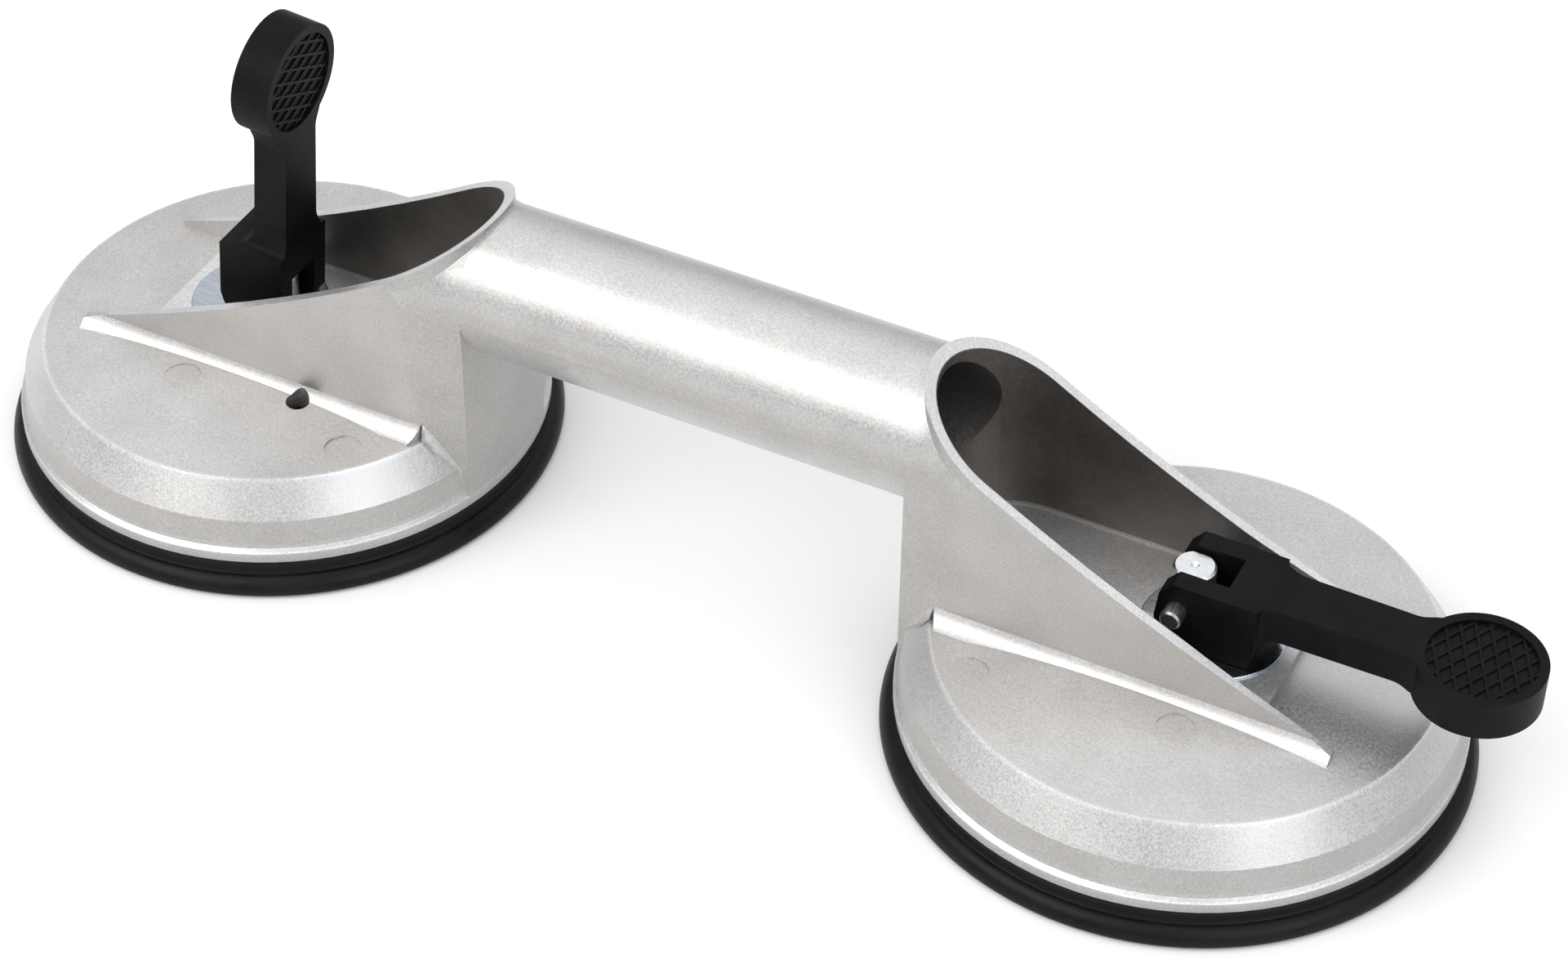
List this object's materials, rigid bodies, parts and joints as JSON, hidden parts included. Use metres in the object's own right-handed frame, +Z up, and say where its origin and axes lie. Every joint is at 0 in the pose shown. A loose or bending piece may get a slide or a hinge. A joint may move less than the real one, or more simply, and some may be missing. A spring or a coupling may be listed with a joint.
{
  "type": "vacuum suction cup",
  "caption": "Hand lifter with suction cups: a cast aluminium tube handle joins round housings, each with a rubber disc pulled up by a cam lever.",
  "frame": {"origin": "on the suction plane, midway between the axes of the two cups, under the middle of the handle tube", "axes": "+X along the handle towards the cup whose lever is folded down, +Z up, away from the sheet that is lifted"},
  "size_m": [0.3472, 0.1222, 0.1069],
  "materials": {
    "cast_aluminium": "fine sand-textured silver paint over die-cast aluminium",
    "polished_steel": "polished",
    "zinc_steel": "bright zinc plated",
    "pin_steel": "drawn",
    "spring_steel": "oiled",
    "white_acetal": "natural acetal",
    "black_nylon": "moulded, fine grain",
    "black_rubber": "moulded, slightly glossy"
  },
  "bodies": {
    "housing": {"handle_casting": "cast_aluminium", "left_wear_plate": "polished_steel", "left_guide_bush": "white_acetal", "left_spring_seat": "zinc_steel", "left_return_spring": "spring_steel", "left_rubber_cup": "black_rubber", "right_wear_plate": "polished_steel", "right_guide_bush": "white_acetal", "right_spring_seat": "zinc_steel", "right_return_spring": "spring_steel", "right_rubber_cup": "black_rubber"},
    "left_column": {"left_puller_post": "zinc_steel", "left_insert_plate": "zinc_steel", "left_pivot_pin": "pin_steel"},
    "left_lever": {"left_lever": "black_nylon"},
    "right_column": {"right_puller_post": "zinc_steel", "right_insert_plate": "zinc_steel", "right_pivot_pin": "pin_steel"},
    "right_lever": {"right_lever": "black_nylon"}
  },
  "joints": [
    {"name": "left_post_slide", "type": "slide", "parent": "housing", "child": "left_column", "axis": [0, 0, 1], "range_m": [0, 0.005], "deforming": ["left_rubber_cup", "left_return_spring"]},
    {"name": "left_lever_hinge", "type": "hinge", "parent": "left_column", "child": "left_lever", "pos_m": [-0.107, 0, 0.03485], "axis": [0, -1, 0], "range_deg": [0, 95]},
    {"name": "right_post_slide", "type": "slide", "parent": "housing", "child": "right_column", "axis": [0, 0, 1], "range_m": [-0.005, 0], "deforming": ["right_rubber_cup", "right_return_spring"]},
    {"name": "right_lever_hinge", "type": "hinge", "parent": "right_column", "child": "right_lever", "pos_m": [0.107, 0, 0.03985], "axis": [0, -1, 0], "range_deg": [0, 95]}
  ],
  "couplings": [
    {"joint": "left_post_slide", "follows": "left_lever_hinge", "m_per_rad": 0.0030156},
    {"joint": "right_post_slide", "follows": "right_lever_hinge", "m_per_rad": -0.0030156}
  ]
}
